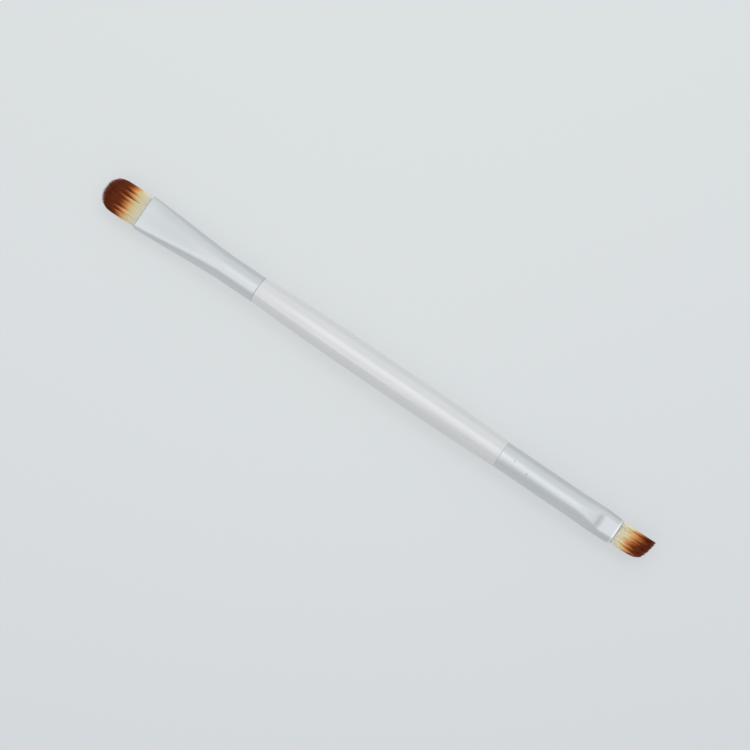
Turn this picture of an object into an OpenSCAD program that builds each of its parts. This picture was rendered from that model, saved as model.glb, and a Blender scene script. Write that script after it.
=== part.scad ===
// Double ended make-up brush, lying on its side.
// One moulded handle carries a thin metal ferrule on each of its two tenons. One ferrule is pressed
// out to a broad flat mouth and holds a domed tuft. The other ends in a short stamped mouth and
// holds a tuft that is cut at a slant. X runs along the brush from the domed tip to the slanted tip,
// Z is up, and the handle's swell touches the surface at Z = 0. All sizes are in millimetres.

/* [Handle] */
// Length of the handle between the two ferrules
handle_len = 73.8; // [50:0.1:110]
// Length of the straight stretch at the handle's middle, which it lies on
belly_len = 18; // [4:1:40]
// How much wider the handle is at its middle than the ferrules
handle_swell = 1.1; // [0.4:0.1:3]
// How far the handle's end stands out from the domed end's ferrule, less than 0 where it lies lower
dome_ledge = -0.05; // [-0.08:0.01:0.2]
// How far the handle's end stands out from the slanted end's ferrule
slant_ledge = 0.1; // [-0.08:0.01:0.2]
// Rounding of the handle's end corners
shoulder_round = 0.15; // [0.05:0.01:0.18]
// Length of the tenon inside each ferrule
tenon_len = 9; // [6:0.5:12]
// Gap between a tenon and the ferrule's bore, all round
tenon_gap = 0.05; // [0.03:0.01:0.1]
// Chamfer at the tip of each tenon
tenon_chamfer = 0.6; // [0.2:0.1:1.2]
// Length of the glue groove round each tenon
groove_len = 3; // [1:0.5:4]
// Depth of the glue groove
groove_depth = 0.4; // [0.2:0.05:0.8]

/* [Ferrules] */
// Outside diameter of the round end of both ferrules
ferrule_d = 7.1; // [6:0.1:9]
// Wall of both ferrules
ferrule_wall = 0.3; // [0.2:0.05:0.4]

/* [Domed end] */
// Length of round tube left beyond the tenon's tip
dome_spare = 1.5; // [0.5:0.5:5]
// Length over which the round tube is pressed out to the flat mouth
dome_taper = 25.5; // [18:0.5:32]
// Thickness of the pressed mouth, outside. Its width follows, as pressing keeps the tube's girth.
dome_mouth_t = 2.4; // [2:0.1:4.5]
// How far the tuft stands out of the ferrule
dome_hair_len = 12.2; // [8:0.1:16]
// Height of the domed part of the tuft
dome_rise = 4.8; // [2:0.1:6.5]
// How blunt the dome is, from 2 for the end of an ellipse
dome_bluntness = 2.3; // [2:0.1:3]
// How much wider the tuft is at its belly than in the mouth
dome_fan_w = 0.2; // [0:0.1:3]
// How much thicker the tuft is at its belly than in the mouth
dome_fan_t = 1.5; // [0.3:0.1:3]
// How far the tuft leans sideways, towards -Y
dome_lean = 0.1; // [0:0.1:1]

/* [Slanted end] */
// Length of round tube from the handle to the stamped part
slant_round = 22; // [18:0.5:32]
// Length over which the round tube slopes down to the heel of the stamped mouth
slant_taper = 6.5; // [4:0.5:9]
// How much wider than the round tube the heel is
slant_heel_spread = 0.2; // [0:0.1:1]
// Height of the step from the heel down to each face of the stamped mouth
slant_step_h = 0.35; // [0.2:0.05:0.7]
// Length of the step
slant_step = 0.6; // [0.3:0.1:1]
// How far the step bows towards the mouth at its middle
slant_bow = 0.7; // [0:0.1:1]
// Length of the stamped mouth
slant_land = 5.2; // [3:0.1:6]
// How much narrower the mouth's rim is than the heel
slant_tuck = 0.5; // [0:0.1:1.5]
// Thickness of the stamped mouth, outside
slant_mouth_t = 4.2; // [3:0.1:5]
// How far the tuft stands out of the ferrule on its long side
slant_hair_len = 9.6; // [7:0.1:13]
// How much shorter the slanted cut leaves the tuft on its short side
slant_drop = 1.6; // [0.5:0.1:3]
// How much shorter again the tuft is at the very edge of that side, where its corner is rounded off
slant_corner = 2.4; // [0:0.1:3]
// How much wider the tuft is at its belly than in the mouth
slant_fan_w = 0.2; // [0:0.1:2]
// How much thicker the tuft is at its belly than in the mouth
slant_fan_t = 0.2; // [0:0.1:2]
// How far the tuft leans towards its long side
slant_lean = 0.2; // [0:0.1:1]

/* [Tufts and glue] */
// Gap between a tuft and the ferrule at the mouth, all round
hair_gap = 0.12; // [0.05:0.01:0.2]
// How much thinner a tuft is at its glued root than at the mouth, on each side
root_pinch = 0.25; // [0.15:0.05:0.4]
// Depth of a tuft's root behind the mouth
root_depth = 8.5; // [7:0.5:11]
// Length of root that the glue plug holds
root_hold = 3; // [1:0.5:3]
// Length of the glue plug behind the root
plug_back = 2; // [1:0.5:4]
// Gap between the glue plug and the pressed wall round it
plug_gap = 0.03; // [0.02:0.01:0.05]
// Thickness of a tuft at the very tips of its strands
tip_t = 0.3; // [0.1:0.05:0.6]
// Height of one combed strand above the groove beside it
strand_ridge = 0.09; // [0.03:0.01:0.15]
// Largest share of its length by which a strand falls short
strand_stagger = 0.045; // [0:0.005:0.1]

/* [Hidden] */
$fn = 96;

white = [0.93, 0.93, 0.91];
silver = [0.76, 0.79, 0.81];
brown = [0.45, 0.2, 0.11];
amber = [0.85, 0.72, 0.45];

bore_d = ferrule_d - 2 * ferrule_wall;
tenon_d = bore_d - 2 * tenon_gap;
belly_d = ferrule_d + handle_swell;
dome_shoulder_d = ferrule_d + 2 * dome_ledge;
slant_shoulder_d = ferrule_d + 2 * slant_ledge;

// Girth of the ferrules' tube at the middle of its wall
tube_girth = PI * (ferrule_d - ferrule_wall);
dome_mouth_w = (tube_girth - (PI - 2) * (dome_mouth_t - ferrule_wall)) / 2 + ferrule_wall;
slant_heel_w = ferrule_d + slant_heel_spread;
slant_heel_t = slant_mouth_t + 2 * slant_step_h;
slant_mouth_w = slant_heel_w - slant_tuck;

// A tuft fills its mouth but for the gap
mouth_inset = 2 * (ferrule_wall + hair_gap);
dome_hair_w = dome_mouth_w - mouth_inset + dome_fan_w;
dome_hair_t = dome_mouth_t - mouth_inset + dome_fan_t;
slant_hair_w = slant_mouth_w - mouth_inset + slant_fan_w;
slant_hair_t = slant_mouth_t - mouth_inset + slant_fan_t;

dome_round = tenon_len + dome_spare;
dome_ferrule_len = dome_round + dome_taper;
slant_heel_x = slant_land + slant_step;
slant_ferrule_len = slant_round + slant_taper + slant_heel_x;
overall_len = dome_hair_len + dome_ferrule_len + handle_len + slant_ferrule_len + slant_hair_len;

dome_mouth_x = dome_hair_len - overall_len / 2;
dome_back_x = dome_mouth_x + dome_ferrule_len;
slant_back_x = dome_back_x + handle_len;
slant_mouth_x = slant_back_x + slant_ferrule_len;
axis_z = belly_d / 2;

// Facets round a pressed tube and strands round a tuft
tube_sides = 64;
dome_strands = 96;
slant_strands = 72;
// Stations along each curved stretch
dome_steps = 12;
slant_steps = 6;
land_steps = 3;
swell_steps = 16;
corner_steps = 4;
tuft_steps = 12;
// The pressed part meets the round tube this far inside its skin
seam = 0.01;
// Share of a strand's length at which the tuft has its full width, and its full thickness
full_width_at = 0.45;
full_thickness_at = 0.35;
// How sharply the slanted cut turns down across the tuft, and again at its rounded corner
cut_curve = 1.8;
corner_curve = 14;
// Seeds for the strands that fall short
dome_seed = 7;
slant_seed = 11;

function mix(a, b, f) = a + (b - a) * f;
function ease(f) = let (c = min(1, max(0, f))) c * c * (3 - 2 * c);
function reversed(list) = [for (i = [len(list) - 1:-1:0]) list[i]];

// Stations of a ferrule's pressed part from the mouth back, as [depth, width, thickness, bow]
function dome_press() =
    [for (j = [0:dome_steps])
        let (u = j / dome_steps, slope = (u + ease(u)) / 2)
        [dome_taper * u, mix(dome_mouth_w, ferrule_d, slope), mix(dome_mouth_t, ferrule_d, slope), 0]];

function slant_press() = concat(
    [for (j = [0:land_steps])
        let (u = j / land_steps, full = 1 - pow(1 - u, 2))
        [slant_land * u, mix(slant_mouth_w, slant_heel_w, full), slant_mouth_t, slant_bow * u * u]],
    [for (j = [0:slant_steps])
        let (u = j / slant_steps, slope = 1 - pow(1 - u, 2))
        [slant_heel_x + slant_taper * u, mix(slant_heel_w, ferrule_d, ease(u)),
         mix(slant_heel_t, ferrule_d, slope), slant_bow * pow(1 - u, 3)]]);

// Outside width and thickness of a press at depth d
function press_w(press, d) = lookup(d, [for (s = press) [s[0], s[1]]]);
function press_t(press, d) = lookup(d, [for (s = press) [s[0], s[2]]]);
function press_len(press) = press[len(press) - 1][0];

// Point at arc length s along the upper half of a flattened ring of half width a and half thickness b
function upper(s, a, b) =
    let (quarter = PI * b / 2, flat = 2 * (a - b))
    s < quarter ? [a - b + b * cos(s / b * 180 / PI), b * sin(s / b * 180 / PI)]
    : s < quarter + flat ? [a - b - (s - quarter), b]
    : let (turn = 90 + (s - quarter - flat) / b * 180 / PI) [b - a + b * cos(turn), b * sin(turn)];

// Point k of n round a flattened ring, as [y, z]
function ring_point(k, n, a, b) =
    let (
        top = k < n / 2,
        girth = 2 * PI * b + 4 * (a - b),
        p = upper(((top ? k : n - 1 - k) + 0.5) / n * girth, a, b)
    )
    [p[0], top ? p[1] : -p[1]];

// A flattened ring of n points at x, bowed towards -X at its middle
function ring(x, a, b, n, bow = 0) =
    [for (k = [0:n - 1])
        let (p = ring_point(k, n, a, b)) [x - bow * (1 - pow(p[0] / a, 2)), p[0], p[1]]];

// Solid through a list of rings. An open one is capped at both ends, a closed one joins up.
module loft(rings, closed = false) {
    n = len(rings[0]);
    m = len(rings);
    sides = [for (j = [0:(closed ? m - 1 : m - 2)], i = [0:n - 1])
        let (a = j * n + i, b = j * n + (i + 1) % n, up = (j + 1) % m * n)
        each [[a, up + i, up + (i + 1) % n], [a, up + (i + 1) % n, b]]];
    cap = [for (k = [0:n / 2 - 2]) each [[k, k + 1, n - 2 - k], [k, n - 2 - k, n - 1 - k]]];
    far_cap = [for (t = cap) [for (v = [2:-1:0]) t[v] + (m - 1) * n]];
    polyhedron([for (r = rings) each r], closed ? sides : concat(cap, sides, far_cap));
}

// A press's rings, set in from its outside by inset, and by a little more where it meets the tube
function skin_rings(press, inset, seam_inset) =
    [for (s = press)
        let (in = inset + (s[0] == press_len(press) ? seam_inset : 0))
        ring(s[0], s[1] / 2 - in, s[2] / 2 - in, tube_sides, s[3])];

// A straight tube along X from 0
module tube(outer_d, inner_d, length) {
    rotate([0, 90, 0]) difference() {
        cylinder(h = length, d = outer_d);
        translate([0, 0, -1]) cylinder(h = length + 2, d = inner_d);
    }
}

// Both ends are drawn with the mouth at X = 0, the tuft towards -X and the handle towards +X
module at_dome_end() translate([dome_mouth_x, 0, axis_z]) children();
module at_slant_end() translate([slant_mouth_x, 0, axis_z]) rotate([0, 0, 180]) children();

module ferrule(press, round_len) {
    color(silver) {
        loft(concat(skin_rings(press, 0, seam),
                    reversed(skin_rings(press, ferrule_wall, -seam))), closed = true);
        translate([press_len(press), 0, 0]) tube(ferrule_d, bore_d, round_len);
    }
}

// The glued root's section at depth d, the same all along the glue and inside the press everywhere
function root_ring(press, d, n) =
    let (
        set_in = ferrule_wall + hair_gap + root_pinch,
        w = min(press_w(press, root_depth), press_w(press, 0))
    )
    ring(d, w / 2 - set_in, press_t(press, 0) / 2 - set_in, n);

// The inside of a press at depth d, less the gap round the glue plug
function plug_ring(press, d, n) =
    let (set_in = ferrule_wall + plug_gap)
    ring(d, press_w(press, d) / 2 - set_in, press_t(press, d) / 2 - set_in, n);

// The plug fills the press from where it first grips the root to some way behind it
module root_glue(press, n) {
    grip = root_depth - root_hold;
    end = root_depth + plug_back;
    between = [for (s = press) if (s[0] > grip && s[0] < end) s[0]];
    color(amber)
        loft(concat([root_ring(press, root_depth, n), root_ring(press, grip, n)],
                    [for (d = concat([grip], between, [end])) plug_ring(press, d, n)]));
}

// One strand for each of the ring's points, grooved between and closing in towards the tips
module bristles(press, belly_w, belly_t, lean, lengths) {
    n = len(lengths);
    a0 = (press_w(press, 0) - mouth_inset) / 2;
    b0 = (press_t(press, 0) - mouth_inset) / 2;
    tuft = [for (j = [tuft_steps:-1:1])
        let (
            u = 1 - pow(1 - j / tuft_steps, 1.3),
            a = mix(a0, belly_w / 2, ease(u / full_width_at)),
            b = mix(b0, belly_t / 2, ease(u / full_thickness_at)),
            closing = mix(tip_t / 2, b, sqrt(1 - pow(u, 3)))
        )
        [for (k = [0:n - 1])
            let (
                ridge = k % 2 * strand_ridge * ease(u * 4),
                q = ring_point(k, n, a + ridge, closing + ridge)
            )
            [-u * lengths[k], q[0] - lean * ease(u), q[1]]]];
    color(brown)
        loft(concat(tuft, [ring(0, a0, b0, n), root_ring(press, root_depth - root_hold, n),
                           root_ring(press, root_depth, n)]));
}

// Place of each strand's tip across the tuft, from -1 to 1
function across(n, w) = [for (k = [0:n - 1]) ring_point(k, n, w / 2, tip_t / 2)[0] / (w / 2)];

function staggered(lengths, seed) =
    let (short = rands(0, strand_stagger, len(lengths), seed))
    [for (k = [0:len(lengths) - 1]) lengths[k] * (1 - short[k])];

// Strand lengths of the dome, and of the slanted cut, which is longest towards -Y
function dome_lengths() =
    [for (y = across(dome_strands, dome_hair_w))
        let (height = pow(1 - pow(abs(y), dome_bluntness), 1 / dome_bluntness))
        dome_hair_len - dome_rise * (1 - height)];

function slant_lengths() =
    [for (y = across(slant_strands, slant_hair_w))
        let (over = (1 + y) / 2)
        slant_hair_len - slant_drop * pow(over, cut_curve) - slant_corner * pow(over, corner_curve)];

// Half the handle from its middle to the tenon's tip, as [radius, distance from the middle]
function half_handle(end_d) =
    let (
        s = handle_len / 2,
        full = s - shoulder_round,
        corner = end_d / 2 - shoulder_round,
        r = tenon_d / 2,
        groove = s + (tenon_len - groove_len) / 2
    )
    concat(
        [for (j = [0:swell_steps])
            let (f = j / swell_steps) [mix(belly_d, end_d, f * f) / 2, mix(belly_len / 2, full, f)]],
        [for (j = [1:corner_steps]) let (t = 90 * j / corner_steps)
            [corner + shoulder_round * cos(t), full + shoulder_round * sin(t)]],
        [[r, s], [r, groove], [r - groove_depth, groove], [r - groove_depth, groove + groove_len],
         [r, groove + groove_len], [r, s + tenon_len - tenon_chamfer],
         [r - tenon_chamfer, s + tenon_len], [0, s + tenon_len]]);

module tenon_glue(ferrule_len) {
    color(amber)
        translate([ferrule_len - (tenon_len + groove_len) / 2, 0, 0])
            tube(bore_d, tenon_d - 2 * groove_depth, groove_len);
}

module handle() {
    towards_dome = [for (p = half_handle(dome_shoulder_d)) [p[0], -p[1]]];
    towards_slant = half_handle(slant_shoulder_d);
    color(white)
        translate([(dome_back_x + slant_back_x) / 2, 0, axis_z]) rotate([0, 90, 0])
            rotate_extrude() polygon(concat(reversed(towards_dome), towards_slant));
}

module dome_ferrule() at_dome_end() ferrule(dome_press(), dome_round);
module dome_bristles() at_dome_end()
    bristles(dome_press(), dome_hair_w, dome_hair_t, dome_lean,
             staggered(dome_lengths(), dome_seed));
module dome_root_glue() at_dome_end() root_glue(dome_press(), dome_strands);
module dome_tenon_glue() at_dome_end() tenon_glue(dome_ferrule_len);

module slant_ferrule() at_slant_end() ferrule(slant_press(), slant_round);
module slant_bristles() at_slant_end()
    bristles(slant_press(), slant_hair_w, slant_hair_t, slant_lean,
             staggered(slant_lengths(), slant_seed));
module slant_root_glue() at_slant_end() root_glue(slant_press(), slant_strands);
module slant_tenon_glue() at_slant_end() tenon_glue(slant_ferrule_len);

handle();
dome_ferrule();
dome_bristles();
dome_root_glue();
dome_tenon_glue();
slant_ferrule();
slant_bristles();
slant_root_glue();
slant_tenon_glue();
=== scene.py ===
# %% [markdown]
# A double ended make-up brush lies on a pale table, and this lesson dresses its imported CAD model.
# The CAD model fixes every size and place. Here each plain solid gets the finish of the real piece:
# a pearl white handle, two pressed metal ferrules, and two tufts of thin dyed filaments.
# The frame is loaded first. The looks may not grow past it.

import math
import random

import bmesh
import bpy
from mathutils import Matrix, Vector, noise


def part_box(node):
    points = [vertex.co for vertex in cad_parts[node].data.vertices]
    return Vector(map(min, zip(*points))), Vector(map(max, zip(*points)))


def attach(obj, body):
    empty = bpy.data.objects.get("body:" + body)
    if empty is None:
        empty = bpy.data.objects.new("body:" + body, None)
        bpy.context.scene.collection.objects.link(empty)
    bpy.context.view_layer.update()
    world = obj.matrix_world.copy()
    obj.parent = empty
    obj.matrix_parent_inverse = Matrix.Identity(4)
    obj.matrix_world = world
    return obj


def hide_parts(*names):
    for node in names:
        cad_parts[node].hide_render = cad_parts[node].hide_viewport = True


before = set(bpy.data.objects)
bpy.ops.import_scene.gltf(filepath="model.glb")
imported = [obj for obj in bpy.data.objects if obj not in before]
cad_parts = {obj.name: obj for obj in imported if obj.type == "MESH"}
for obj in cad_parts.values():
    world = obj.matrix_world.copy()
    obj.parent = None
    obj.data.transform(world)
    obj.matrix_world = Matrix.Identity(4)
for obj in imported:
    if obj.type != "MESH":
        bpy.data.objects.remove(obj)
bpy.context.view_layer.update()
print("CAD nodes:", ", ".join(sorted(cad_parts)))

# %% [markdown]
# The photograph is taken from above, with the brush running down to the right. The camera stands
# almost square over the brush and leans a little towards the slanted end, which is why that end
# looks slightly larger. A camera can be aimed by an empty that it tracks, but then its roll is a
# guess. Here its three axes are written out, so that the brush's slope in the picture is exact.

# %% Camera
MM = 0.001
AXIS_HEIGHT = 4.1 * MM       # height of the brush's axis over the table
SLOPE = math.radians(34.13)  # how far the brush slopes down to the right in the picture
LEAN = math.atan2(37, 392)   # the lens stands 37 mm off to the slanted end in 392 mm of height
DISTANCE = 392 * MM
AIM = Vector((1.88 * MM, -1.3 * MM, AXIS_HEIGHT))
SENSOR_WIDTH, LENS = 36, 74.8

back = Vector((math.sin(LEAN), 0, math.cos(LEAN)))
along = Vector((math.cos(LEAN), 0, -math.sin(LEAN)))
across = Vector((0, 1, 0))
right = math.cos(SLOPE) * along + math.sin(SLOPE) * across
up = -math.sin(SLOPE) * along + math.cos(SLOPE) * across

camera = bpy.data.objects.new("camera", bpy.data.cameras.new("camera"))
bpy.context.scene.collection.objects.link(camera)
camera.data.sensor_width = SENSOR_WIDTH
camera.data.lens = LENS
camera.data.clip_start, camera.data.clip_end = 0.01, 20
camera.matrix_world = (Matrix.Translation(AIM + DISTANCE * back)
                       @ Matrix((right, up, back)).transposed().to_4x4())
bpy.context.scene.camera = camera
print("camera height over the table in mm:", round(camera.location.z / MM))

# %% [markdown]
# Every piece is made in the same few steps, so these come first as helpers: one turns a finished
# bmesh into an object, one starts a material, and two send a pattern to a socket, as a colour or as
# a number. Each material writes its plain values on the shader's own sockets.

# %% Helpers: meshes and materials
def finish_mesh(bm, name, smooth=True):
    """Turns a bmesh into a linked object at the origin."""
    mesh = bpy.data.meshes.new(name)
    for face in bm.faces:
        face.smooth = smooth
    bm.to_mesh(mesh)
    bm.free()
    made = bpy.data.objects.new(name, mesh)
    bpy.context.scene.collection.objects.link(made)
    print(name, len(mesh.polygons), "faces")
    return made


def new_material(name, **sockets):
    """A Principled material with constant values on the shader's own sockets."""
    material = bpy.data.materials.new(name)
    material.use_nodes = True
    shader = material.node_tree.nodes["Principled BSDF"]
    for socket, value in sockets.items():
        shader.inputs[socket.replace("_", " ")].default_value = value
    print("material", name)
    return material, material.node_tree.nodes, material.node_tree.links, shader


def colours(nodes, links, factor, stops, socket):
    """Sends a factor to a socket through a colour ramp of (place, colour) stops."""
    ramp = nodes.new("ShaderNodeValToRGB")
    elements = ramp.color_ramp.elements
    while len(elements) < len(stops):
        elements.new(0.5)
    for element, (place, colour) in zip(elements, stops):
        element.position, element.color = place, (*colour, 1)
    links.new(factor, ramp.inputs["Fac"])
    links.new(ramp.outputs["Color"], socket)


def spread(nodes, links, factor, low, high, socket, steps=(0.3, 0.7)):
    """Sends a factor to a socket as a value between low and high."""
    span = nodes.new("ShaderNodeMapRange")
    span.inputs["From Min"].default_value, span.inputs["From Max"].default_value = steps
    span.inputs["To Min"].default_value, span.inputs["To Max"].default_value = low, high
    links.new(factor, span.inputs["Value"])
    links.new(span.outputs["Result"], socket)


# %% [markdown]
# The table is a large square of plain matt board at height 0, where the handle's belly rests. It is
# no part of the brush. Its shadows would come out too dark beside so small a brush, so part of its
# brightness is a plain glow that only the camera and mirrors see. As in the photograph, the glow
# falls off towards the lower edge of the picture, and a little to all sides of the brush, so a height
# up the picture and a round pool are added up for it.

# %% Table: board
BOARD_COLOUR = (0.74, 0.775, 0.795, 1)
TABLE_HALF = 3   # half the table's side, in metres

bm = bmesh.new()
bmesh.ops.create_grid(bm, x_segments=1, y_segments=1, size=TABLE_HALF)
table = finish_mesh(bm, "table", smooth=False)
board, nodes, links, shader = new_material("matt_board", Roughness=0.9, Specular_IOR_Level=0.2)
shader.inputs["Base Color"].default_value = BOARD_COLOUR
table.data.materials.append(board)

# %% Table: how bright the glow is from place to place
NEAR_GLOW, FAR_GLOW = (0.67, 0.69, 0.72), (0.755, 0.785, 0.78)
GLOW_SLOPE, GLOW_BASE = 4, 0.4   # rise in each metre up the picture, and level without the pool
POOL_R, POOL_RISE = 0.14, 0.35   # radius of the pool in metres, and what it adds at its middle

place = nodes.new("ShaderNodeTexCoord")
height = nodes.new("ShaderNodeVectorMath")
height.operation = "DOT_PRODUCT"
height.inputs[1].default_value = GLOW_SLOPE * up
links.new(place.outputs["Object"], height.inputs[0])
shrunk = nodes.new("ShaderNodeMapping")
shrunk.vector_type = "TEXTURE"
shrunk.inputs["Scale"].default_value = (POOL_R, POOL_R, POOL_R)
links.new(place.outputs["Object"], shrunk.inputs["Vector"])
pool = nodes.new("ShaderNodeTexGradient")
pool.gradient_type = "SPHERICAL"
links.new(shrunk.outputs["Vector"], pool.inputs["Vector"])
raised = nodes.new("ShaderNodeMath")
raised.operation = "MULTIPLY_ADD"
raised.inputs[1].default_value, raised.inputs[2].default_value = POOL_RISE, GLOW_BASE
links.new(pool.outputs["Fac"], raised.inputs[0])
shifted = nodes.new("ShaderNodeMath")
links.new(height.outputs["Value"], shifted.inputs[0])
links.new(raised.outputs["Value"], shifted.inputs[1])
glow = nodes.new("ShaderNodeEmission")
colours(nodes, links, shifted.outputs["Value"], [(0, NEAR_GLOW), (1, FAR_GLOW)], glow.inputs["Color"])
print("glow under the brush:", GLOW_BASE + POOL_RISE, "of the way from near to far")

# %% Table: who sees the glow
GLOW_SHARE = 0.66

rays = nodes.new("ShaderNodeLightPath")
seen = rays.outputs["Is Camera Ray"]
for ray in ("Is Glossy Ray", "Is Transmission Ray"):
    total = nodes.new("ShaderNodeMath")
    links.new(seen, total.inputs[0])
    links.new(rays.outputs[ray], total.inputs[1])
    seen = total.outputs["Value"]
lit_and_glowing = nodes.new("ShaderNodeMixShader")
spread(nodes, links, seen, 0, GLOW_SHARE, lit_and_glowing.inputs["Fac"], steps=(0, 1))
links.new(shader.outputs["BSDF"], lit_and_glowing.inputs[1])
links.new(glow.outputs["Emission"], lit_and_glowing.inputs[2])
links.new(lit_and_glowing.outputs["Shader"], nodes["Material Output"].inputs["Surface"])
print("share of the board that glows:", GLOW_SHARE)

# %% [markdown]
# The light in the photograph is a wide soft source overhead, which leaves a broad bright band along
# the brush, with a fill from the far side and a bright room all round. Area lamps give such soft
# bands. Each lamp is given by how bright its face looks, where 1 is white, and its power follows
# from its area, so that a colour renders about as it is written. One plain softbox would be simpler,
# but its band has the same strength and width all along. So it has a brighter core, and at the domed
# end a second box and a small card, where the band is broader.
# The soft shadow in the photograph lies on the near side only. A lamp on the far side that throws it
# would also add a band to the metal, so that key lamp lights what is matt and isn't mirrored, and
# the softbox that is mirrored overhead leaves the matt surfaces to it. The key hangs a little higher
# than the fill, which it would hide from the metal in one plane with it. A low window on the far
# side is mirrored too, along the upper edge of the metal.

# %% Lamps
LIGHT_COLOUR = (0.96, 0.985, 1.0)


def soft_lamp(name, low, high, height, level):
    """A level rectangular lamp between two (x, y) corners, in metres."""
    lamp = bpy.data.lights.new(name, "AREA")
    lamp.shape = "RECTANGLE"
    lamp.size, lamp.size_y = high[0] - low[0], high[1] - low[1]
    lamp.energy = math.pi * lamp.size * lamp.size_y * level
    lamp.color = LIGHT_COLOUR
    placed = bpy.data.objects.new(name, lamp)
    placed.location = ((low[0] + high[0]) / 2, (low[1] + high[1]) / 2, height)
    bpy.context.scene.collection.objects.link(placed)
    print(name, "spans", [round(math.degrees(math.atan2(y, height))) for y in (low[1], high[1])],
          "degrees off the zenith")
    return placed


overhead = soft_lamp("overhead_softbox", (-0.36, -0.36), (0.50, 0.30), 0.65, 0.38)
overhead.visible_diffuse = False
key = soft_lamp("far_side_key", (-0.36, 0.24), (0.50, 0.55), 0.70, 1.3)
key.visible_glossy = False
soft_lamp("softbox_core", (-0.17, -0.08), (0.10, 0.35), 0.64, 0.26)
soft_lamp("domed_end_softbox", (-0.64, -0.36), (-0.36, 0.0), 0.65, 0.56)
soft_lamp("domed_end_card", (-0.30, -0.29), (0.0, -0.14), 0.25, 0.46)
soft_lamp("far_side_fill", (-1.6, 0.32), (1.6, 4.8), 0.65, 0.235)
window = soft_lamp("far_window", (-4.0, 4.8), (4.0, 14.0), 0.65, 0.22)
window.visible_diffuse = window.visible_camera = False

# %% Room
ROOM_LEVEL = 0.69

room = bpy.data.worlds.new("room")
bpy.context.scene.world = room
room.use_nodes = True
room.node_tree.nodes["Background"].inputs["Color"].default_value = (*LIGHT_COLOUR, 1)
room.node_tree.nodes["Background"].inputs["Strength"].default_value = ROOM_LEVEL
bpy.context.scene.view_settings.view_transform = "Standard"
print("room level:", ROOM_LEVEL)

# %% [markdown]
# The handle is one moulding: a slim round rod, fullest along its middle, with a rounded corner at
# each end and a tenon beyond it that goes into the ferrule. Such a turned form could be a scaled
# cylinder, but its swell and its corners need a true outline. So one side of it is drawn as a
# row of points and spun about the brush's axis, as a lathe would cut it. Its two ends are where the
# frame's ferrules begin.

# %% Handle: outline
DOME_MOUTH_X, DOME_BACK = (round(corner.x / MM, 3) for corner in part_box("dome_ferrule"))
SLANT_BACK, SLANT_MOUTH_X = (round(corner.x / MM, 3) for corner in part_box("slant_ferrule"))
HANDLE_LEN = SLANT_BACK - DOME_BACK
BELLY_LEN, BELLY_R = 18, 4.1
DOME_END_R, SLANT_END_R = 3.5, 3.65
CORNER = 0.15
TENON_R, TENON_LEN, TENON_CHAMFER = 3.2, 9, 0.6
GROOVE_LEN, GROOVE_DEPTH = 3, 0.4
SWELL_STEPS, CORNER_STEPS = 40, 6


def mix(a, b, share):
    """The value at a share of the way from a to b."""
    return a + (b - a) * share


def handle_half(end_r):
    """Half the outline from the middle to the tenon's tip, as (distance from the middle, radius)."""
    half = HANDLE_LEN / 2
    full = half - CORNER
    groove = half + (TENON_LEN - GROOVE_LEN) / 2
    swell = [(mix(BELLY_LEN / 2, full, k / SWELL_STEPS), mix(BELLY_R, end_r, (k / SWELL_STEPS) ** 2))
             for k in range(SWELL_STEPS + 1)]
    corner = [(full + CORNER * math.sin(t), end_r - CORNER + CORNER * math.cos(t))
              for t in (math.pi / 2 * k / CORNER_STEPS for k in range(1, CORNER_STEPS + 1))]
    tenon = [(half, TENON_R), (groove, TENON_R), (groove, TENON_R - GROOVE_DEPTH),
             (groove + GROOVE_LEN, TENON_R - GROOVE_DEPTH), (groove + GROOVE_LEN, TENON_R),
             (half + TENON_LEN - TENON_CHAMFER, TENON_R),
             (half + TENON_LEN, TENON_R - TENON_CHAMFER), (half + TENON_LEN, 0)]
    return swell + corner + tenon


middle = (DOME_BACK + SLANT_BACK) / 2
outline = ([(middle - x, r) for x, r in reversed(handle_half(DOME_END_R))]
           + [(middle + x, r) for x, r in handle_half(SLANT_END_R)])
print("handle outline:", len(outline), "points over", round(HANDLE_LEN, 2), "mm and two tenons")

# %% Handle: spin the outline
SIDES = 128
SHARP = 35   # edges that bend more than this many degrees stay crisp


def spun(outline, closed=False):
    """Spins (x, radius) points in mm about the brush's axis into a bmesh."""
    bm = bmesh.new()
    verts = [bm.verts.new((x * MM, r * MM, AXIS_HEIGHT)) for x, r in outline]
    pairs = list(zip(verts, verts[1:])) + ([(verts[-1], verts[0])] if closed else [])
    edges = [bm.edges.new(pair) for pair in pairs]
    bmesh.ops.spin(bm, geom=verts + edges, cent=(0, 0, AXIS_HEIGHT), axis=(1, 0, 0),
                   angle=2 * math.pi, steps=SIDES, use_merge=True, use_duplicate=False)
    bmesh.ops.remove_doubles(bm, verts=bm.verts, dist=1e-6)
    bmesh.ops.recalc_face_normals(bm, faces=bm.faces)
    return bm


bm = spun(outline)
for edge in bm.edges:
    if len(edge.link_faces) == 2 and edge.calc_face_angle() > math.radians(SHARP):
        edge.smooth = False
handle = finish_mesh(bm, "pearl_handle")

# %% [markdown]
# The handle's finish is a pearl white plastic. Tiny mica flakes in it mirror the lamp softly, so it
# is whiter than metal and yet shows a clearer band than plain plastic. A small share of Metallic
# stands for the flakes. Fine noise, stretched along the brush, breaks up its roughness.

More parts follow.
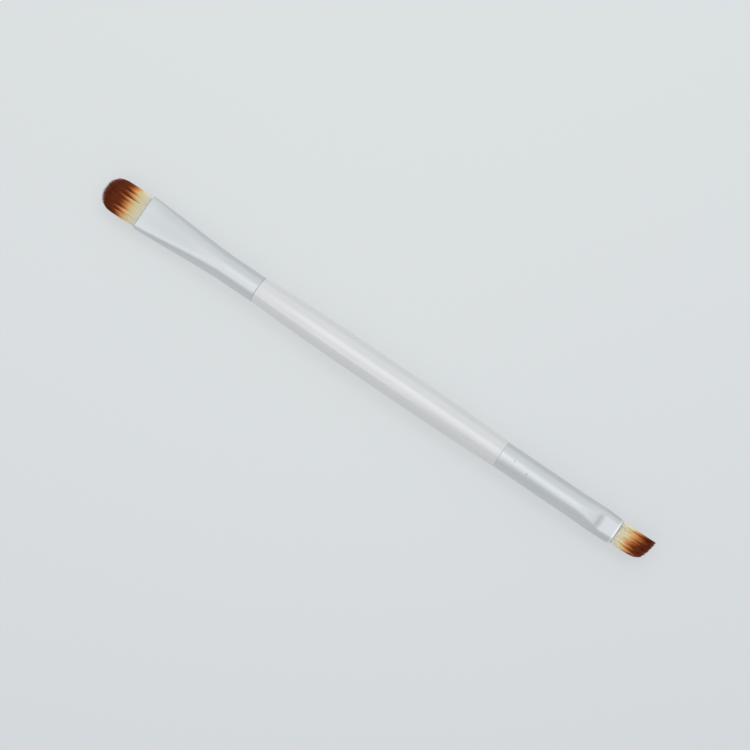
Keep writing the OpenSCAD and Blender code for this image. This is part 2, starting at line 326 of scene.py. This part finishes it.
# %% Handle: pearl white finish
def stretched_noise(nodes, links, scale, stretch, detail=2.0):
    """Noise on Object coordinates whose grain runs along the brush. Scale is grains per metre."""
    where = nodes.new("ShaderNodeTexCoord")
    mapping = nodes.new("ShaderNodeMapping")
    mapping.inputs["Scale"].default_value = (1 / stretch, 1, 1)
    grain = nodes.new("ShaderNodeTexNoise")
    grain.inputs["Scale"].default_value = scale
    grain.inputs["Detail"].default_value = detail
    links.new(where.outputs["Object"], mapping.inputs["Vector"])
    links.new(mapping.outputs["Vector"], grain.inputs["Vector"])
    return grain.outputs["Fac"]


def bump(nodes, links, factor, height, shader):
    """Raises the surface by a factor times height, in metres."""
    relief = nodes.new("ShaderNodeBump")
    relief.inputs["Strength"].default_value = 1
    relief.inputs["Distance"].default_value = height
    links.new(factor, relief.inputs["Height"])
    links.new(relief.outputs["Normal"], shader.inputs["Normal"])


pearl, nodes, links, shader = new_material("pearl_white_plastic", Metallic=0.32, IOR=1.5)
cloud = stretched_noise(nodes, links, scale=220, stretch=4)
colours(nodes, links, cloud, [(0.3, (0.73, 0.73, 0.722)), (0.7, (0.76, 0.755, 0.75))],
        shader.inputs["Base Color"])
grain = stretched_noise(nodes, links, scale=2600, stretch=3, detail=3)
spread(nodes, links, grain, low=0.14, high=0.22, socket=shader.inputs["Roughness"])
bump(nodes, links, grain, height=0.002 * MM, shader=shader)
handle.data.materials.append(pearl)
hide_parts("handle")
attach(handle, "root")

# %% [markdown]
# Each ferrule is a seamless metal tube that a press squeezes flat at one end. Its mesh is made the
# same way: a wall outline with rounded rims is spun into a round tube, and then every point is
# moved to its place on the flattened ring, at the same share of the girth. That is truer than
# scaling a cylinder, which would thin the wall and turn the mouth into an ellipse.

# %% Ferrules: round tube
FERRULE_R, WALL = 3.55, 0.3   # the round end of both ferrules, in mm
RIM_STEPS = 8


def ease(share):
    """A share from 0 to 1 that starts and stops gently."""
    share = min(1, max(0, share))
    return share * share * (3 - 2 * share)


def wall_outline(depths, back_round):
    """Closed outline of a tube's wall, as (depth behind the mouth, radius). Its mouth's rim is a
    half round, and the corners of its back rim have a radius of back_round."""
    half = WALL / 2
    middle = FERRULE_R - half
    first, last = depths[0] + half, depths[-1] - back_round
    inside = [d for d in depths if first < d < last]
    turns = [math.pi * k / RIM_STEPS for k in range(RIM_STEPS + 1)]
    mouth_rim = [(first - half * math.sin(t), middle - half * math.cos(t)) for t in turns]
    back_rim = [(last + back_round * math.sin(t),
                 middle + math.copysign(half - back_round, math.cos(t)) + back_round * math.cos(t))
                for t in turns]
    outer = [(d, FERRULE_R) for d in inside]
    inner = [(d, FERRULE_R - WALL) for d in reversed(inside)]
    return mouth_rim + outer + back_rim + inner


# %% Ferrules: the press
def flattened(share, half_w, half_t):
    """The point at a share of the girth round a flattened ring, as (y, z), from its +Y side."""
    flat = half_w - half_t
    quarter = math.pi * half_t / 2
    girth = 4 * quarter + 4 * flat
    s = share * girth
    low = s > girth / 2
    if low:
        s = girth - s
    if s < quarter:
        point = flat + half_t * math.cos(s / half_t), half_t * math.sin(s / half_t)
    elif s < quarter + 2 * flat:
        point = flat - (s - quarter), half_t
    else:
        turn = math.pi / 2 + (s - quarter - 2 * flat) / half_t
        point = -flat + half_t * math.cos(turn), half_t * math.sin(turn)
    return point[0], -point[1] if low else point[1]


def pressed(bm, press):
    """Moves a round tube's points to their places after the press. A press gives, for a depth
    behind the mouth, the ring's half width and half thickness, how far it bows towards the mouth,
    and its crown, which is the share of its thickness that it loses at its edges."""
    for vert in bm.verts:
        depth = vert.co.x / MM
        y, z = vert.co.y / MM, (vert.co.z - AXIS_HEIGHT) / MM
        inset = FERRULE_R - math.hypot(y, z)
        half_w, half_t, bow, crown = press(depth)
        share = math.atan2(z, y) / (2 * math.pi) % 1
        y, z = flattened(share, half_w - inset, half_t - inset)
        z *= 1 - crown * (y / half_w) ** 4
        shift = bow * (1 - (y / half_w) ** 2)
        vert.co = ((depth - shift) * MM, y * MM, AXIS_HEIGHT + z * MM)


# %% [markdown]
# The domed end's ferrule is pressed evenly over most of its length. Pressing bends the wall but
# doesn't stretch it, so the width of its mouth follows from the tube's girth and the mouth's
# thickness. Thin metal springs back a little when the press opens, so the faces of the mouth aren't
# quite flat: they have a low crown, which spreads the lamp's mirror image over them.

# %% Domed end's ferrule: a long even press
DOME_LEN = DOME_BACK - DOME_MOUTH_X
DOME_MOUTH_T, DOME_TAPER, CROWN = 2.4, 25.5, 0.3
DOME_MOUTH_W = (math.pi * (2 * FERRULE_R - WALL) - (math.pi - 2) * (DOME_MOUTH_T - WALL)) / 2 + WALL
DOME_ROUND, DOME_STEPS = 0.12, 90


def dome_press(depth):
    """Half width, half thickness, bow and crown of the domed end's ferrule behind its mouth."""
    u = min(1, max(0, depth / DOME_TAPER))
    slope = (u + ease(u)) / 2
    return (mix(DOME_MOUTH_W / 2, FERRULE_R, slope), mix(DOME_MOUTH_T / 2, FERRULE_R, slope), 0,
            mix(CROWN, 0, slope))


depths = [DOME_LEN * k / DOME_STEPS for k in range(DOME_STEPS + 1)]
bm = spun(wall_outline(depths, DOME_ROUND), closed=True)
pressed(bm, dome_press)
bmesh.ops.translate(bm, verts=bm.verts, vec=(DOME_MOUTH_X * MM, 0, 0))
bmesh.ops.recalc_face_normals(bm, faces=bm.faces)
dome_ferrule = finish_mesh(bm, "pressed_dome_ferrule")
print("domed end's mouth is", round(DOME_MOUTH_W, 2), "mm wide")

# %% [markdown]
# The slanted end's ferrule stays round for most of its length. It then slopes down to a heel, and
# a short mouth is stamped into it. The stamp draws the tube in a little, so here the girth shrinks
# towards the mouth, and it leaves a step across both faces that bows towards the mouth. The step is
# a smooth bend in thin metal and not a knife edge, so it is eased over a longer stretch here.

# %% Slanted end's ferrule: a short stamped mouth
SLANT_LEN = SLANT_MOUTH_X - SLANT_BACK
SLANT_LAND, SLANT_STEP, SLANT_TAPER = 5.2, 0.6, 6.5
SLANT_MOUTH_W, SLANT_HEEL_W, SLANT_MOUTH_T, SLANT_HEEL_T = 6.8, 7.3, 4.2, 4.9
SLANT_BOW = 0.7
SOFT_LEAD, SOFT_STEP = 0.5, 1.8   # where the eased step begins before the heel, and its length
SLANT_ROUND = 0.04
LAND_STEPS, STEP_STEPS, TAPER_STEPS, TUBE_STEPS = 14, 8, 30, 24


def slant_press(depth):
    """Half width, half thickness, bow and crown of the slanted end's ferrule behind its mouth."""
    step = ease((depth - SLANT_LAND + SOFT_LEAD) / SOFT_STEP)
    heel_t = mix(SLANT_MOUTH_T, SLANT_HEEL_T, step)
    if depth < SLANT_LAND:
        u = max(0, depth) / SLANT_LAND
        width = mix(SLANT_MOUTH_W, SLANT_HEEL_W, 1 - (1 - u) ** 2)
        return width / 2, heel_t / 2, SLANT_BOW * u * u, 0
    u = min(1, max(0, (depth - SLANT_LAND - SLANT_STEP) / SLANT_TAPER))
    slope = 1 - (1 - u) ** 2
    return (mix(SLANT_HEEL_W, 2 * FERRULE_R, ease(u)) / 2,
            mix(heel_t, 2 * FERRULE_R, slope) / 2, SLANT_BOW * (1 - u) ** 3, 0)


heel = SLANT_LAND + SLANT_STEP
depths = ([SLANT_LAND * k / LAND_STEPS for k in range(LAND_STEPS)]
          + [SLANT_LAND + SLANT_STEP * k / STEP_STEPS for k in range(STEP_STEPS)]
          + [heel + SLANT_TAPER * k / TAPER_STEPS for k in range(TAPER_STEPS)]
          + [mix(heel + SLANT_TAPER, SLANT_LEN, k / TUBE_STEPS) for k in range(TUBE_STEPS + 1)])
bm = spun(wall_outline(depths, SLANT_ROUND), closed=True)
pressed(bm, slant_press)
bmesh.ops.rotate(bm, verts=bm.verts, cent=(0, 0, 0), matrix=Matrix.Rotation(math.pi, 3, "Z"))
bmesh.ops.translate(bm, verts=bm.verts, vec=(SLANT_MOUTH_X * MM, 0, 0))
bmesh.ops.recalc_face_normals(bm, faces=bm.faces)
slant_ferrule = finish_mesh(bm, "stamped_slant_ferrule")

# %% [markdown]
# The ferrules are satin anodised aluminium: fully metallic, cool grey, and rough enough to smear
# the lamp into one soft band. Drawing the tube leaves fine lines along it, which show as faint
# changes in roughness, so the noise is stretched a lot along the brush. Handling leaves two tiny
# nicks, which are dark. The stamped mouth is painted a little darker, as painted shade where its flat
# faces mirror less of the lamp, and its rim is painted bright, as a painted highlight where the
# rounded rim catches the lamp. These marks only change the colour. Each is a colour that is mixed
# over what lies under it, along X for the mouth and its rim, and in a small ball for each nick.

# %% Ferrules: satin metal, nicks, and painted shade and highlight at the mouth
# The stamped land's colour is painted shade, where its flat faces mirror less of the lamp, and the
# rim's bright colour is a painted highlight, where the rounded rim catches the lamp. The nicks' dark
# colour is their own.
PAINTED_LAND_SHADE = (0.645, 0.66, 0.675, 1)
PAINTED_RIM_HIGHLIGHT = (0.80, 0.81, 0.82, 1)
NICKED = (0.30, 0.31, 0.33, 1)
# The mouth's painted shade and the rim's painted highlight come in over these spans along X.
STAMP_FROM, STAMP_TO = -0.4, 0.6   # where the duller colour comes in past the land's back, in mm
RIM_FROM, RIM_TO = 0.70, 0.45      # where the bright colour comes in behind the mouth, in mm
NICKS = ((42.9, 0.4, 7.6), (47.1, -0.6, 7.6))   # places of the nicks, in mm
NICK_SIZE = (0.18, 0.55, 0.3)                   # radii of each one's ball, in mm

satin, nodes, links, shader = new_material("satin_ferrule_metal", Metallic=1.0)
haze = stretched_noise(nodes, links, scale=160, stretch=3)
rim_highlight, nicked, stamped = (nodes.new("ShaderNodeMix") for _ in range(3))
for layer, colour in ((stamped, PAINTED_LAND_SHADE), (rim_highlight, PAINTED_RIM_HIGHLIGHT), (nicked, NICKED)):
    layer.data_type = "RGBA"
    layer.inputs["B"].default_value = colour
colours(nodes, links, haze, [(0.3, (0.655, 0.675, 0.69)), (0.7, (0.69, 0.705, 0.715))],
        stamped.inputs["A"])
links.new(stamped.outputs["Result"], rim_highlight.inputs["A"])
links.new(rim_highlight.outputs["Result"], nicked.inputs["A"])
links.new(nicked.outputs["Result"], shader.inputs["Base Color"])

place = nodes.new("ShaderNodeTexCoord")
split = nodes.new("ShaderNodeSeparateXYZ")
links.new(place.outputs["Object"], split.inputs["Vector"])
land_back = SLANT_MOUTH_X - SLANT_LAND
spread(nodes, links, split.outputs["X"], 0, 1, stamped.inputs["Factor"],
       steps=((land_back + STAMP_FROM) * MM, (land_back + STAMP_TO) * MM))
spread(nodes, links, split.outputs["X"], 0, 1, rim_highlight.inputs["Factor"],
       steps=((SLANT_MOUTH_X - RIM_FROM) * MM, (SLANT_MOUTH_X - RIM_TO) * MM))

# %% Ferrules: nicks, drawn lines and finish
balls = nodes.new("ShaderNodeMath")
for spot, entry in zip(NICKS, balls.inputs):
    mapping = nodes.new("ShaderNodeMapping")
    mapping.vector_type = "TEXTURE"
    mapping.inputs["Location"].default_value = [c * MM for c in spot]
    mapping.inputs["Scale"].default_value = [c * MM for c in NICK_SIZE]
    ball = nodes.new("ShaderNodeTexGradient")
    ball.gradient_type = "SPHERICAL"
    links.new(place.outputs["Object"], mapping.inputs["Vector"])
    links.new(mapping.outputs["Vector"], ball.inputs["Vector"])
    links.new(ball.outputs["Fac"], entry)
links.new(balls.outputs["Value"], nicked.inputs["Factor"])

drawn = stretched_noise(nodes, links, scale=5200, stretch=30, detail=3)
spread(nodes, links, drawn, low=0.30, high=0.38, socket=shader.inputs["Roughness"])
bump(nodes, links, drawn, height=0.003 * MM, shader=shader)
for ferrule, node in ((dome_ferrule, "dome_ferrule"), (slant_ferrule, "slant_ferrule")):
    ferrule.data.materials.append(satin)
    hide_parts(node)
    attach(ferrule, "root")
# Here the stamped mouth is painted shade and the rim is a painted highlight.
print("marks on the metal:", len(NICKS), "nicks, a stamped mouth and a burnished rim")

# %% [markdown]
# A tuft is a bundle of thin synthetic filaments, glued into the ferrule at the root and cut to a
# form at the tips. Blender's hair would not survive the export, so each filament is a slim tube of
# its own: a three-sided ring that is extruded station by station, which keeps it to a few
# dozen faces. Each one keeps its place across the bundle, p across its width and q through its
# thickness, both from -1 to 1. The bundle's width and thickness at a station say where that is: it
# fans out past the mouth, and its faces close to a thin edge at the tips.

# %% Tufts: how the bundle fans out and closes
ROOT_PINCH, MOUTH_INSET, TIP_HALF_T = 0.25, 0.42, 0.15
FAN_END_W, FAN_END_T = 0.45, 0.35   # shares of the length at which the fan is fully open


def bundle_place(tuft, p, q, u):
    """Place of filament (p, q) at a share u of its length past the mouth, as (y, z) in mm."""
    half_w = mix(tuft["mouth_w"], tuft["belly_w"], ease(u / FAN_END_W))
    open_t = mix(tuft["mouth_t"], tuft["belly_t"], ease(u / FAN_END_T))
    half_t = mix(TIP_HALF_T, open_t, math.sqrt(1 - u ** 3))
    y = p * half_w
    over = max(0, abs(y) - (half_w - open_t)) / open_t
    crown = 1 - tuft["crown"] * (y / tuft["mouth_w"]) ** 4
    return y - tuft["lean"] * ease(u), q * half_t * crown * math.sqrt(max(0, 1 - over * over))


def root_place(tuft, p, q):
    """Place of a filament in the glued root, where the bundle is pinched, as (y, z) in mm."""
    half_w, half_t = tuft["mouth_w"] - ROOT_PINCH, tuft["mouth_t"] - ROOT_PINCH
    over = max(0, abs(p) * half_w - (half_w - half_t)) / half_t
    return p * half_w, q * half_t * math.sqrt(max(0, 1 - over * over))


# %% Tufts: where the filaments stand
SPACING = 0.088                  # between neighbours, in mm
ROW_PITCH = 0.866                # between rows, as a share of the spacing
P_JITTER, Q_JITTER = 0.35, 0.3   # how far a filament strays, as shares of the spacing


def filament_spots(tuft, rng):
    """Jittered hexagonal places across the bundle, as (p, q) pairs within its flattened ring."""
    half_w, half_t = tuft["mouth_w"], tuft["mouth_t"]
    rows = int(2 * half_t / (SPACING * ROW_PITCH))
    count = int(2 * half_w / SPACING)
    spots = []
    for row in range(rows + 1):
        for k in range(count + 1):
            p = -1 + 2 * (k + 0.5 * (row % 2)) / count
            p += rng.uniform(-P_JITTER, P_JITTER) * SPACING / half_w
            q = -1 + 2 * row / rows
            q += rng.uniform(-Q_JITTER, Q_JITTER) * SPACING / half_t
            spots.append((max(-1, min(1, p)), max(-1, min(1, q))))
    return spots


# %% [markdown]
# The dye climbs higher in some locks than in others, which gives the ragged tongues of colour.
# Noise alone gives tongues, but not where the photograph shows them. So each tuft also has a few
# runs, at their places across it, that raise or lower the dye, and one or two strands that are dark
# almost to the root: in the domed tuft a dyed strand, and in the slanted tuft two lines of painted
# shade between its locks.

# %% Tufts: how high the dye climbs
LOCKS_ACROSS, LOCKS_THROUGH = 4, 2   # how quickly the noise changes, in each mm and in q
DYE_MIDDLE = 0.45                    # how high the dye climbs on the whole
DYE_UNEVEN, DYE_JITTER = 0.35, 0.14  # how far it strays by lock, and by filament
RUN_HALF_W = 0.4                     # half the width of one run of dye, in mm
# A strand that is dark almost to the root is dyed in the domed tuft and painted shade in the slanted
# one.
STRAND_HALF_W = 0.08                 # half the width of a wholly dyed strand, in mm
DYE_LIMIT = 0.88                     # the dye of every other filament stays below this


def dye_climb(tuft, p, q, rng):
    """How high the dye climbs in filament (p, q), from 0 to 1. It varies from lock to lock."""
    uneven = noise.noise(Vector((p * tuft["mouth_w"] * LOCKS_ACROSS, q * LOCKS_THROUGH,
                                 tuft["seed"])))
    climb = (DYE_MIDDLE + tuft["dye_slope"] * p + DYE_UNEVEN * uneven
             + rng.uniform(-DYE_JITTER, DYE_JITTER))
    for place, rise in tuft["dye_runs"]:
        climb += rise * max(0, 1 - abs(p - place) * tuft["mouth_w"] / RUN_HALF_W)
    # Strands at these places are dark almost to the root. In the slanted tuft they are painted shade,
    # thin dark lines of shade between its locks.
    dark_to_root = any(abs(p - place) * tuft["mouth_w"] < STRAND_HALF_W
                     for place in tuft["dye_and_shade_strands"])
    return 1 if dark_to_root else min(DYE_LIMIT, max(0, climb))


# %% [markdown]
# Growing a tuft takes two passes. The first gives every filament a path: two points in the glued
# root, and then its place in the bundle at each station. On the way each filament is pulled a little
# towards the middle of its lock, sways, and falls a little short, so that the tips are ragged. The
# second pass sets a ring at the start of every path and extrudes all the rings together, station by
# station, and thins them towards the tips.

# %% Tufts: the path of each filament
ROOT_DEPTH, GRIP_DEPTH = 8.5, 5.5   # how deep the root goes, and where the pinch ends, in mm
STATIONS = (0.0, 0.1, 0.22, 0.36, 0.5, 0.64, 0.77, 0.89, 1.0)
END_ROUND, SHORTFALL = 0.13, 0.05   # shares of the length lost at the faces, and at random
PULL_LOW, PULL_HIGH = 0.1, 0.34     # how strongly a filament is pulled to its lock's middle
SWAY, SWAY_TURN = 0.05, 3           # how far a filament sways, in mm, and its wave in radians


def filament_paths(tuft, locks):
    """Paths of a tuft's filaments in mm, as (points, length, dye), with the mouth at x = 0."""
    rng = random.Random(tuft["seed"])
    spots = filament_spots(tuft, rng)
    centres = [(rng.uniform(-1, 1), rng.uniform(-1, 1)) for _ in range(locks)]
    aspect = tuft["mouth_w"] / tuft["mouth_t"]
    paths = []
    for index, (p, q) in enumerate(spots):
        near = min(centres, key=lambda c: ((c[0] - p) * aspect) ** 2 + (c[1] - q) ** 2)
        full = tuft["length"](p)
        length = full * (1 - END_ROUND * q * q) * (1 - rng.uniform(0, SHORTFALL))
        pull, sway = rng.uniform(PULL_LOW, PULL_HIGH), rng.uniform(-1, 1)
        path = [Vector((ROOT_DEPTH, *root_place(tuft, p, q))),
                Vector((GRIP_DEPTH, *root_place(tuft, p, q)))]
        for u in STATIONS:
            gather = pull * ease(u)
            y, z = bundle_place(tuft, mix(p, near[0], gather), mix(q, near[1], gather),
                                u * length / full)
            drift = SWAY * sway * ease(u) * math.sin(SWAY_TURN * u + index)
            path.append(Vector((-u * length, y + drift, z)))
        paths.append((path, length, dye_climb(tuft, p, q, rng)))
    return paths


# %% Tufts: extrude the filaments
FILAMENT_R = 0.05
THIN_FROM, THIN_TO, THIN_CURVE = 0.55, 0.3, 1.5   # where it starts to thin, its share at the tip
U_LOW, U_SPAN, U_CORNER = 0.01, 0.97, 0.005       # where no dye lies in the map, the span to full
                                                  # dye, and how far a filament's corners differ


def thickness(u):
    """Share of its full thickness that a filament has at a share u of its length."""
    return mix(1, THIN_TO, max(0, (u - THIN_FROM) / (1 - THIN_FROM)) ** THIN_CURVE)


def grow(paths, longest):
    """Extrudes filaments along their paths. Each point keeps its dye and its place along the tuft."""
    bm = bmesh.new()
    strand = bm.faces.layers.int.new("strand")
    dye_at, along_at = bm.verts.layers.float.new("dye"), bm.verts.layers.float.new("along")
    faces = []
    for index, (path, length, dye) in enumerate(paths):
        place = Matrix.Translation(path[0]) @ Matrix.Rotation(math.pi / 2, 4, "Y")
        ring = bmesh.ops.create_circle(bm, cap_ends=True, segments=3, radius=FILAMENT_R,
                                       matrix=place)["verts"]
        face = ring[0].link_faces[0]
        face[strand] = index
        for corner, vert in enumerate(ring):
            vert[dye_at] = U_LOW + U_SPAN * dye + U_CORNER * corner
        faces.append(face)
    for step in range(1, len(STATIONS) + 2):
        u, before = STATIONS[max(0, step - 2)], STATIONS[max(0, step - 3)]
        thinned = thickness(u) / thickness(before)
        faces = bmesh.ops.extrude_discrete_faces(bm, faces=faces)["faces"]
        for face in faces:
            path, length, dye = paths[face[strand]]
            for vert in face.verts:
                vert.co = path[step] + (vert.co - path[step - 1]) * thinned
                vert[along_at] = u * length / longest
    return bm, dye_at, along_at


# %% Tufts: UV map and place
V_EDGE = 0.005   # the map stays this far inside its lower and upper edge


def make_tuft(name, tuft, locks, mouth_x, turned=False):
    """Makes a tuft at its mouth, with its UV map's u as the dye and v as the place along it."""
    bm, dye_at, along_at = grow(filament_paths(tuft, locks), tuft["longest"])
    uv = bm.loops.layers.uv.new("OFBake")
    for face in bm.faces:
        for loop in face.loops:
            loop[uv].uv = loop.vert[dye_at], min(1 - V_EDGE, max(V_EDGE, loop.vert[along_at]))
    bmesh.ops.scale(bm, verts=bm.verts, vec=(MM, MM, MM))
    if turned:
        bmesh.ops.rotate(bm, verts=bm.verts, cent=(0, 0, 0),
                         matrix=Matrix.Rotation(math.pi, 3, "Z"))
    bmesh.ops.translate(bm, verts=bm.verts, vec=(mouth_x * MM, 0, AXIS_HEIGHT))
    bmesh.ops.recalc_face_normals(bm, faces=bm.faces)
    return finish_mesh(bm, name)


# %% [markdown]
# The two tufts differ in the form of their cut and in their runs of dye. The domed one is cut to a
# blunt dome, and it fills a broad flat mouth whose crown it follows. The slanted one is cut in one
# slow curve from its long side, with the corner of its short side rounded off. Both lean a little
# sideways, as they do in the photograph.

# %% Domed tuft
DOME_HAIR_LEN, DOME_RISE, BLUNTNESS = 12.2, 4.8, 2.3
DOME_FAN_W, DOME_FAN_T = 0.1, 0.75   # what the fan adds to the half width and half thickness


def dome_length(p):
    """Length of the domed tuft at a place across it, in mm."""
    return DOME_HAIR_LEN - DOME_RISE * (1 - (1 - abs(p) ** BLUNTNESS) ** (1 / BLUNTNESS))


dome = {
    "mouth_w": DOME_MOUTH_W / 2 - MOUTH_INSET,
    "mouth_t": DOME_MOUTH_T / 2 - MOUTH_INSET,
    "belly_w": DOME_MOUTH_W / 2 - MOUTH_INSET + DOME_FAN_W,
    "belly_t": DOME_MOUTH_T / 2 - MOUTH_INSET + DOME_FAN_T,
    "lean": 0.1, "crown": CROWN, "length": dome_length, "longest": DOME_HAIR_LEN, "seed": 7,
    "dye_slope": 0.03, "dye_and_shade_strands": (0.285,),
    "dye_runs": ((0.70, -0.3), (0.60, 0.3), (0.47, -0.3), (0.285, 0.5), (0.135, -0.5), (0.01, 0.2),
                 (-0.11, -0.15), (-0.39, 0.25), (-0.52, -0.35), (-0.62, 0.15), (-0.75, -0.35)),
}
dome_tuft = make_tuft("domed_tuft", dome, locks=110, mouth_x=DOME_MOUTH_X)

# %% Slanted tuft
SLANT_HAIR_LEN, SLANT_DROP, SLANT_CORNER = 9.6, 1.6, 2.4
CUT_CURVE, CORNER_CURVE = 1.8, 14
SLANT_FAN = 0.1   # what the fan adds to the half width and half thickness


def slant_length(p):
    """Length of the slanted tuft at a place across it, from its long side at p = -1, in mm."""
    side = (1 + p) / 2
    return SLANT_HAIR_LEN - SLANT_DROP * side ** CUT_CURVE - SLANT_CORNER * side ** CORNER_CURVE


slant = {
    "mouth_w": SLANT_MOUTH_W / 2 - MOUTH_INSET,
    "mouth_t": SLANT_MOUTH_T / 2 - MOUTH_INSET,
    "belly_w": SLANT_MOUTH_W / 2 - MOUTH_INSET + SLANT_FAN,
    "belly_t": SLANT_MOUTH_T / 2 - MOUTH_INSET + SLANT_FAN,
    "lean": 0.2, "crown": 0, "length": slant_length, "longest": SLANT_HAIR_LEN, "seed": 11,
    # Its two dark strands are painted shade between its locks.
    "dye_slope": 0.32, "dye_and_shade_strands": (-0.80, 0.58),
    "dye_runs": ((-0.78, 0.15), (-0.46, -0.35), (-0.22, 0.2), (-0.08, -0.2), (0.18, 0.35),
                 (0.34, 0.35), (0.45, -0.35), (0.58, 0.2), (0.83, -0.6)),
}
slant_tuft = make_tuft("slanted_tuft", slant, locks=70, mouth_x=SLANT_MOUTH_X, turned=True)

# %% [markdown]
# The UV map holds both facts that the colour needs, each filament's own dye and the place along it,
# so one colour ramp paints the whole tuft and still differs from lock to lock: a filament with more
# dye runs through the ramp sooner. Filaments share the map and overlap in it, which is right only
# because the colour comes from the map alone, so nothing else is mixed in. The palest colours are
# near white, as light that is lost between the filaments darkens the whole tuft.

# %% Tufts: dyed filaments
DYE = {
    # shade is no dye: it is a painted shadow at the very roots, in the gap between the ferrule's wall
    # and the filaments.
    "shade": (0.56, 0.53, 0.45),
    "root": (0.97, 0.92, 0.77),
    "cream": (1.0, 0.92, 0.70),
    "peach": (1.0, 0.90, 0.60),
    "straw": (1.0, 0.80, 0.43),
    "amber": (1.0, 0.58, 0.235),
    "orange": (0.83, 0.335, 0.095),
    "rust": (0.54, 0.15, 0.028),
    "brown": (0.29, 0.048, 0.010),
    "umber": (0.22, 0.036, 0.009),
    "tip": (0.25, 0.047, 0.011),
}
DOME_PLACES = (0.0, 0.02, 0.16, 0.245, 0.335, 0.42, 0.50, 0.585, 0.67, 0.755, 0.87)
SLANT_PLACES = (0.0, 0.045, 0.17, 0.28, 0.39, 0.48, 0.60, 0.72, 0.85, 0.93, 0.99)
CLIMB = 0.75                        # how much faster full dye makes a filament run through the ramp
# Where the strands that are dark almost to the root begin in the map: dyed in the domed tuft, painted
# shade in the slanted one.
WHOLE_FROM, WHOLE_TO = 0.93, 0.97   # the places in the map where wholly dyed strands begin
WHOLE_START = 0.15                  # how far into the ramp such a strand starts


def dyed_filaments(name, places):
    """Filament material whose ramp runs along the tuft and shifts with each filament's dye."""
    material, nodes, links, shader = new_material(name, Roughness=0.5, Specular_IOR_Level=0.2)
    uv = nodes.new("ShaderNodeUVMap")
    uv.uv_map = "OFBake"
    split = nodes.new("ShaderNodeSeparateXYZ")
    shift = nodes.new("ShaderNodeMath")
    shift.operation = "MULTIPLY_ADD"
    links.new(uv.outputs["UV"], split.inputs["Vector"])
    links.new(split.outputs["Y"], shift.inputs[1])
    spread(nodes, links, split.outputs["X"], 1, 1 + CLIMB, shift.inputs[0], steps=(0, 1))
    spread(nodes, links, split.outputs["X"], 0, WHOLE_START, shift.inputs[2],
           steps=(WHOLE_FROM, WHOLE_TO))
    colours(nodes, links, shift.outputs["Value"], list(zip(places, DYE.values())),
            shader.inputs["Base Color"])
    return material


dome_dye = dyed_filaments("dome_dyed_filaments", DOME_PLACES)
slant_dye = dyed_filaments("slant_dyed_filaments", SLANT_PLACES)
for tuft, dye, node in ((dome_tuft, dome_dye, "dome_bristles"),
                        (slant_tuft, slant_dye, "slant_bristles")):
    tuft.data.materials.append(dye)
    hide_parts(node)
    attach(tuft, "root")

# %% [markdown]
# Four blobs of cured epoxy hold the brush together: a plug behind each tuft's root and a ring in
# each tenon's groove. They are out of sight, and their CAD shapes are already right, so they stay
# and only get their finish, a clear amber that clouds a little.

# %% Glue: cured epoxy
epoxy, nodes, links, shader = new_material("cured_epoxy", Roughness=0.25, IOR=1.55)
cloud = stretched_noise(nodes, links, scale=900, stretch=1)
colours(nodes, links, cloud, [(0.3, (0.55, 0.38, 0.15)), (0.7, (0.68, 0.52, 0.26))],
        shader.inputs["Base Color"])
for node in ("dome_root_glue", "dome_tenon_glue", "slant_root_glue", "slant_tenon_glue"):
    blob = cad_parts[node]
    blob.data.materials.clear()
    blob.data.materials.append(epoxy)
